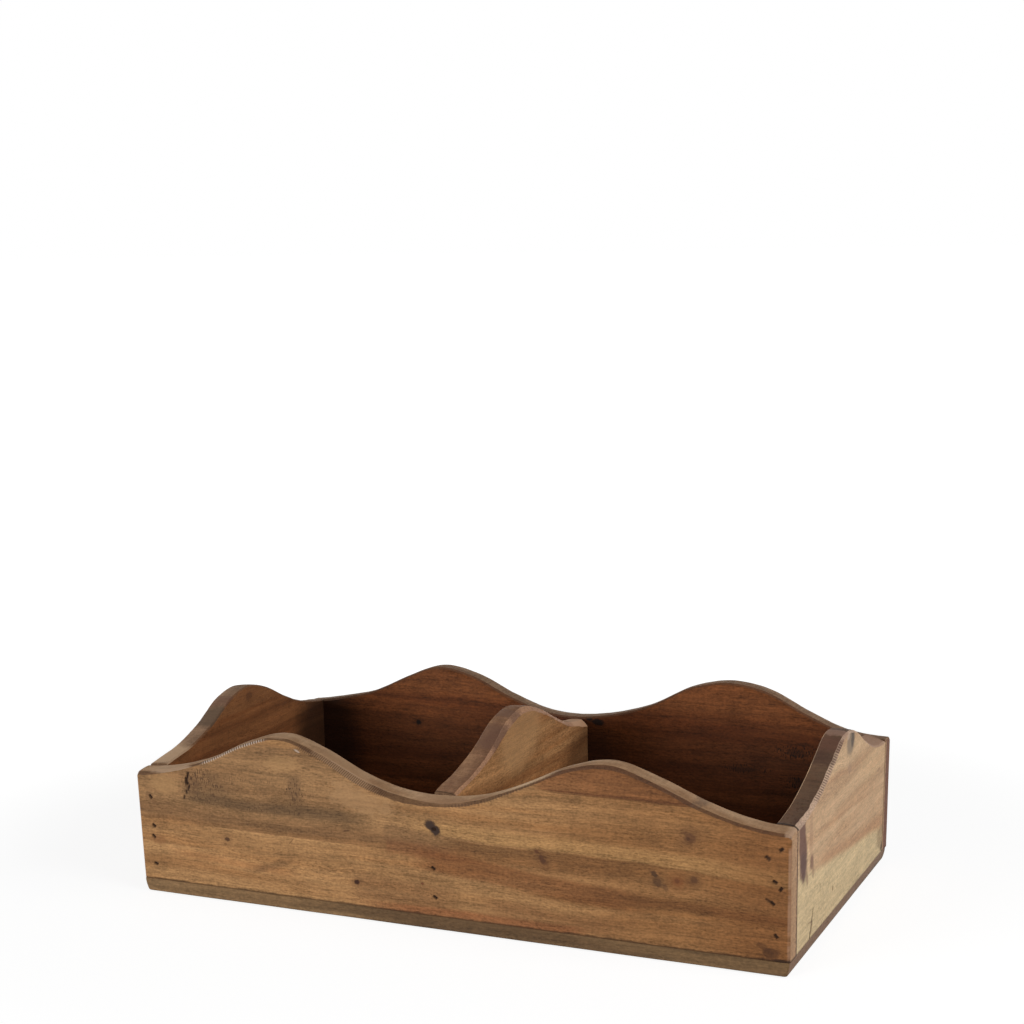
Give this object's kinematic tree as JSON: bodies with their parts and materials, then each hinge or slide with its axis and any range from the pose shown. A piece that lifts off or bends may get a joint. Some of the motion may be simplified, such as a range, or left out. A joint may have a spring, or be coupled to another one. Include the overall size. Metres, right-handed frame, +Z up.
{
  "type": "wooden storage box",
  "caption": "Open rectangular wooden storage box with a scalloped rim, a cross divider and a flat base, held together by set brads in butt joints.",
  "frame": {"origin": "centre of the underside, on the surface that the box stands on", "axes": "+X along the length to the right-hand end, -Y towards the front board, +Z up out of the open top"},
  "size_m": [0.4, 0.215, 0.1056],
  "materials": {
    "front_wood": "waxed, worn, golden brown with knots",
    "back_wood": "waxed, worn, dark red-brown",
    "left_wood": "waxed, worn, mid brown",
    "right_wood": "waxed, pale sapwood below, red-brown above",
    "divider_wood": "waxed, worn, warm tan",
    "base_wood": "dull, grey-brown",
    "brads": "dark, oxidised, punched below the surface"
  },
  "bodies": {
    "root": {"base_board": "base_wood", "front_board": "front_wood", "back_board": "back_wood", "left_end_board": "left_wood", "right_end_board": "right_wood", "divider": "divider_wood", "brad_front_left_1": "brads", "brad_front_left_2": "brads", "brad_front_left_3": "brads", "brad_front_left_4": "brads", "brad_front_right_1": "brads", "brad_front_right_2": "brads", "brad_front_right_3": "brads", "brad_front_right_4": "brads", "brad_front_right_5": "brads", "brad_front_divider_1": "brads", "brad_front_divider_2": "brads", "brad_front_divider_3": "brads", "brad_back_left_1": "brads", "brad_back_left_2": "brads", "brad_back_left_3": "brads", "brad_back_right_1": "brads", "brad_back_right_2": "brads", "brad_back_right_3": "brads", "brad_back_divider_1": "brads", "brad_back_divider_2": "brads", "brad_back_divider_3": "brads", "brad_base_front_1": "brads", "brad_base_front_2": "brads", "brad_base_front_3": "brads", "brad_base_back_1": "brads", "brad_base_back_2": "brads", "brad_base_back_3": "brads", "brad_base_left_1": "brads", "brad_base_left_2": "brads", "brad_base_right_1": "brads", "brad_base_right_2": "brads", "brad_base_divider_1": "brads", "brad_base_divider_2": "brads"}
  },
  "joints": []
}
